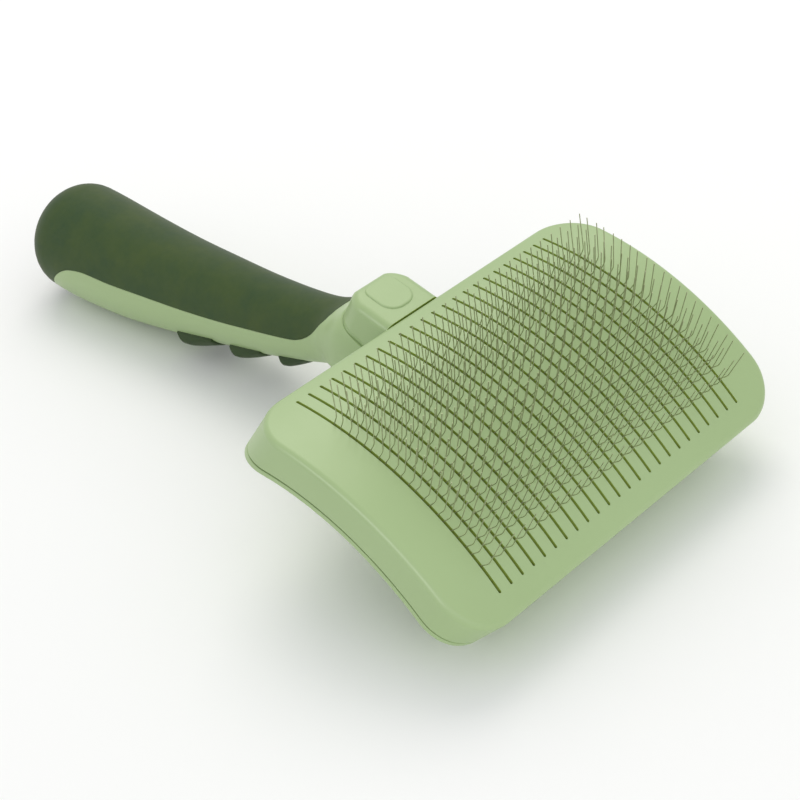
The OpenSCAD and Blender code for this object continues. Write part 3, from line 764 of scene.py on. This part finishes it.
def section(s, direction, inset, k, sides):
    """A ring across the handle at a station: inset from its surface and shrunk by k."""
    up = (-direction[1], direction[0])
    e = 2 / s[5]
    ring = []
    for j in range(sides):
        a = 2 * math.pi * (j + 0.5) / sides
        c = math.copysign(abs(math.cos(a)) ** e, math.cos(a))
        v = math.copysign(abs(math.sin(a)) ** e, math.sin(a))
        rise = ((s[2] if v > 0 else s[3]) - inset) * v * k
        ring.append((s[0] + up[0] * rise, (s[4] - inset) * c * k, s[1] + up[1] * rise))
    return ring


def spine_points(first, between):
    last = len(STATIONS) - 1
    spine = [station_at(i, t / between) for i in range(first, last) for t in range(between)]
    return spine + [np.array(STATIONS[last], float)]


def toward_head(a, b):
    d = np.array([a[0] - b[0], a[1] - b[1]])
    return d / np.linalg.norm(d)


def handle_form(name, inset, first, sides=72, between=8, dome=14):
    """The handle from a station on, inset all round, with its domed butt."""
    spine = spine_points(first, between)
    m = len(spine) - 1
    rings = []
    for i, station in enumerate(spine):
        direction = toward_head(spine[max(i - 1, 0)], spine[min(i + 1, m)])
        rings.append(section(station, direction, inset, 1, sides))
    tail = toward_head(spine[m - 1], spine[m])
    for i in range(1, dome + 1):
        a = math.radians(min(i * 90 / dome, 88.5))
        reach = (BUTT_LENGTH - inset) * math.sin(a)
        s = spine[m].copy()
        s[0] -= tail[0] * reach
        s[1] -= tail[1] * reach
        rings.append(section(s, tail, inset, math.cos(a), sides))
    verts = [v for ring in rings for v in ring]
    return new_mesh(name, verts, tube_faces(len(rings), sides))


def smooth_line(points, between=5):
    """A smooth curve through points (Catmull-Rom)."""
    curve = []
    p = [np.array(q, float) for q in points]
    for i in range(len(p) - 1):
        p0, p1, p2, p3 = p[max(i - 1, 0)], p[i], p[i + 1], p[min(i + 2, len(p) - 1)]
        curve += [tuple(catmull_rom(p0, p1, p2, p3, t)) for t in np.arange(between) / between]
    return curve + [tuple(p[-1])]


def above_seam(drop):
    """All that lies above the grip's lower edge, from a little below it."""
    line = smooth_line(SEAM_LINE)
    return side_prism("above_seam", [(x, z - drop) for x, z in line] + [(-200, -120 - drop), (-200, 0)], 40)


def at_handle(x):
    """The middle line's point at x and the direction up across the handle."""
    for a, b in zip(STATIONS, STATIONS[1:]):
        if a[0] >= x > b[0]:
            d = toward_head(a, b)
            z = a[1] + (b[1] - a[1]) * (x - a[0]) / (b[0] - a[0])
            return Vector((x, 0, z)), Vector((-d[1], 0, d[0]))


def make_grip():
    grip = handle_form("grip_form", 0, 4)
    boolean(grip, [above_seam(0)], "INTERSECT")
    boolean(grip, [handle_form("inside", GRIP_T, 4, 48, 4, 8)])
    finish_piece(grip, GRIP, "grip", "brush_body", "grip", degrees=40)


def make_handle_shell():
    """Neck and lower half in one: a well for the button, a seat for the head and two screw bosses."""
    shell = handle_form("shell_form", 0, 0)
    boolean(shell, [prism("collar", well_outline(0.8), -27, BUTTON_BASE - 1.2)], "UNION")
    well_mid = (BUTTON_FRONT + BUTTON_REAR) / 2
    gap = 0.06
    floor = BUTTON_FOOT - TRAVEL - 0.2
    top = floor + 40
    half_y = BUTTON_W / 2 + gap
    flat_x = BUTTON_FRONT + RELIEF + FIT
    spring_well = rounded_outline(BUTTON_L / 2, 8.3, 3, centre=(well_mid, 0))
    cover_rear = HEAD_X - COVER_X
    edge = [(x, arc_z(x, COVER_DEPTH + FIT)) for x in np.linspace(cover_rear - 1.5, 30, 40)]
    cutters = [
        above_seam(0.15),
        handle_form("inside", SHELL_T, 6, 48, 4, 8),
        prism("well", well_outline(gap), floor, top),
        box_cutter("well_front", (BUTTON_FRONT - 5, -half_y, floor), (flat_x, half_y, top)),
        prism("spring_well", spring_well, SPRING_LOW, floor + 0.1),
        box_cutter("above_neck", (-55, -20, BUTTON_BASE), (5, 20, 21)),
        side_prism("under_head", edge + [(30, 40), (cover_rear - 1.5, 40)], 60),
        arm_window_cutter(),
    ]
    rim = wall_at(-TOP_PLAN[0], 0, -1, 0, RIM_DEPTH + BAND_H)
    rim = (rim.x - FIT, rim.z)
    low = (cover_rear - FIT, arc_z(cover_rear, COVER_DEPTH) - FIT)
    cutters.append(side_prism("behind_head", [low, (30, low[1]), (30, 30), (rim[0], 30), rim], 60))
    boolean(shell, cutters)
    bosses = []
    for x in SCREW_XS:
        mid, up = at_handle(x)
        radius = station_near(x)[3]
        boss = cylinder_between("boss", mid - up * (radius - SHELL_T * 0.5), mid, 3.0)
        bosses.append(boolean(boss, [cylinder_between("hole", mid - up * 30, mid + up, SCREW_R + FIT)]))
        boolean(shell, [cylinder_between("bore", mid - up * 30, mid - up * 8, 1.9 + FIT)])
    shell = join([shell] + bosses, "neck_and_lower_shell")
    finish_piece(shell, SHELL, "shell", "brush_body", "handle_shell", degrees=35)


def station_near(x):
    """Sizes of the handle at x, between stations."""
    for a, b in zip(STATIONS, STATIONS[1:]):
        if a[0] >= x > b[0]:
            t = (x - a[0]) / (b[0] - a[0])
            return [p + (q - p) * t for p, q in zip(a, b)]


def make_rib(i):
    """A rubber rib across the underside: steep towards the butt, sloping off to the head."""
    length, half = RIB_LENGTHS[i], math.radians(RIB_HALF_ANGLES[i])
    steps_a, steps_t = 22, 40
    spine = spine_points(5, 12)
    table = np.array([(s[0], s[1], s[3]) for s in spine])[::-1]
    verts, faces = [], []
    for layer in range(2):
        for ka in range(steps_a + 1):
            u = ka / steps_a
            x = RIB_XS[i] + u * length * RIB_SLOPE
            z, r = np.interp(x, table[:, 0], table[:, 1]), np.interp(x, table[:, 0], table[:, 2])
            ahead = np.interp(x + 0.5, table[:, 0], table[:, 1])
            d = Vector((0.5, 0, ahead - z)).normalized()
            up = Vector((-d.z, 0, d.x))
            steep = math.sin(min(1.0, u / 0.1) * math.pi / 2) ** 0.5
            height = RIB_H * steep * (1 - max(0.0, (u - 0.2) / 0.8) ** 1.2)
            for kt in range(steps_t + 1):
                v = 2 * kt / steps_t - 1
                a = v * half
                fall = max(0.0, 1 - abs(v) ** 9)
                at_edge = ka in (0, steps_a) or kt in (0, steps_t)
                lift = height * fall - RIB_EDGE * at_edge if layer == 0 else -RIB_ROOT
                rr = r + lift
                verts.append(Vector((x, 0, z)) + up * (-rr * math.cos(a)) + Vector((0, rr * math.sin(a), 0)))
    row = steps_t + 1
    count = row * (steps_a + 1)
    for ka in range(steps_a):
        for kt in range(steps_t):
            a = ka * row + kt
            faces.append((a, a + 1, a + row + 1, a + row))
            faces.append((count + a, count + a + row, count + a + row + 1, count + a + 1))
    rim = list(range(row)) + [ka * row + steps_t for ka in range(1, steps_a + 1)]
    rim += [steps_a * row + kt for kt in range(steps_t - 1, -1, -1)]
    rim += [ka * row for ka in range(steps_a - 1, 0, -1)]
    for a, b in zip(rim, rim[1:] + rim[:1]):
        faces.append((a, count + a, count + b, b))
    rib = new_mesh("rib_%d" % (i + 1), verts, faces)
    finish_piece(rib, RIB_RUBBER_SHADED, "rib", "brush_body", "finger_rib_%d" % (i + 1), degrees=50)


# ---- Return spring ----------------------------------------------------------------------


def make_spring():
    turns, r, wire, closed, steps, sides = 7, 2.9, 0.4, 0.07, 40, 10
    height = SPRING_TOP - SPRING_LOW - 2 * wire - 0.1
    verts = []
    count = turns * steps
    for i in range(count + 1):
        a = 2 * math.pi * i / steps
        t = i / count
        climb = t - math.sin(2 * math.pi * t) * closed
        z = SPRING_LOW + 0.05 + wire + height * climb
        for k in range(sides):
            b = 2 * math.pi * k / sides
            rr = r + wire * math.cos(b)
            verts.append((SPRING_X + rr * math.cos(a), rr * math.sin(a), z + wire * math.sin(b)))
    spring = new_mesh("spring_coil", verts, tube_faces(count + 1, sides))
    finish_piece(spring, SPRING, "spring", "brush_body", "return_spring", degrees=60)
    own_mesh(spring)


# ---- Build ------------------------------------------------------------------------------

make_face()
make_cover()
make_pins()
make_button()
make_grip()
make_handle_shell()
for rib_no in range(len(RIB_XS)):
    make_rib(rib_no)
make_spring()

# The pin pad gets the olive painted shade; the carrier, core and screws keep plain plastic and steel
KEPT = {"pin_pad": PAD_PAINTED_SHADE, "pin_carrier": CORE, "handle_core": CORE, "head_screws": SCREW,
        "handle_screws": SCREW, "button_screws": SCREW}
for node, material in KEPT.items():
    mesh = frame["nodes"][node].data
    mesh.materials.clear()
    mesh.materials.append(material)

# ---- Floor, light and camera ------------------------------------------------------------


def stage_material(name, colour, roughness):
    m = Nodes(name)
    lighter = tuple(min(1, c * 1.01) for c in colour)
    m.link(m.ramp(m.noise(3, 2), [(0.3, colour), (0.7, lighter)]), m.shader.inputs["Base Color"])
    m.set(Roughness=roughness, Specular_IOR_Level=0.2)
    return m.material


FLOOR_HALF = 3.0
floor_corners = [(sx * FLOOR_HALF, sy * FLOOR_HALF, 0) for sx, sy in ((-1, -1), (1, -1), (1, 1), (-1, 1))]
floor_mesh = bpy.data.meshes.new("floor")
floor_mesh.from_pydata(floor_corners, [], [(0, 1, 2, 3)])
floor = bpy.data.objects.new("floor", floor_mesh)
floor.location.z = -0.0002
bpy.context.scene.collection.objects.link(floor)
floor_mesh.materials.append(stage_material("floor_white", (0.92, 0.92, 0.92), 0.9))

world = bpy.data.worlds.new("studio")
bpy.context.scene.world = world
world.use_nodes = True
background = world.node_tree.nodes["Background"]
background.inputs["Color"].default_value = (0.975, 0.985, 1, 1)
background.inputs["Strength"].default_value = 0.82


def area_light(name, place, target, power, width, height=None, colour=(1, 1, 1)):
    light = bpy.data.lights.new(name, "AREA")
    light.energy = power
    light.color = colour
    light.shape = "RECTANGLE"
    light.size, light.size_y = width, height or width
    obj = bpy.data.objects.new(name, light)
    obj.location = place
    obj.rotation_euler = (Vector(target) - Vector(place)).to_track_quat("-Z", "Y").to_euler()
    bpy.context.scene.collection.objects.link(obj)
    return obj


area_light("key", (-0.5, 0.5, 1.1), (0, 0, 0), 5.6, 0.9, colour=(1, 0.98, 0.88))
glint = area_light("glint", (0.15, -1.0, 0.62), (0.05, -0.05, 0.03), 7.5, 1.5, 0.22)
glint.visible_diffuse = False
area_light("front", (0.9, -0.25, 0.35), (0.08, 0, 0.02), 1.3, 0.7)

# The camera looks down on the head from its near right side; its place is given in slot pitches
IMAGE_PX, FOCAL_PX = 800, 1900.69
camera_place = Vector((32.713, -70.281, 87.972)) * SLOT_PITCH
right = row_direction((0.69876, 0.68733, 0.19825)).normalized()
down = row_direction((0.63846, -0.47422, -0.60621)).normalized()
back = right.cross(-down).normalized()
camera_data = bpy.data.cameras.new("camera")
camera_data.sensor_width = 36
camera_data.lens = FOCAL_PX / IMAGE_PX * camera_data.sensor_width
camera = bpy.data.objects.new("camera", camera_data)
camera.matrix_world = Matrix((right, -down, back)).transposed().to_4x4()
camera.location = to_row(camera_place)
bpy.context.scene.collection.objects.link(camera)
bpy.context.scene.camera = camera
bpy.context.scene.view_settings.view_transform = "Standard"
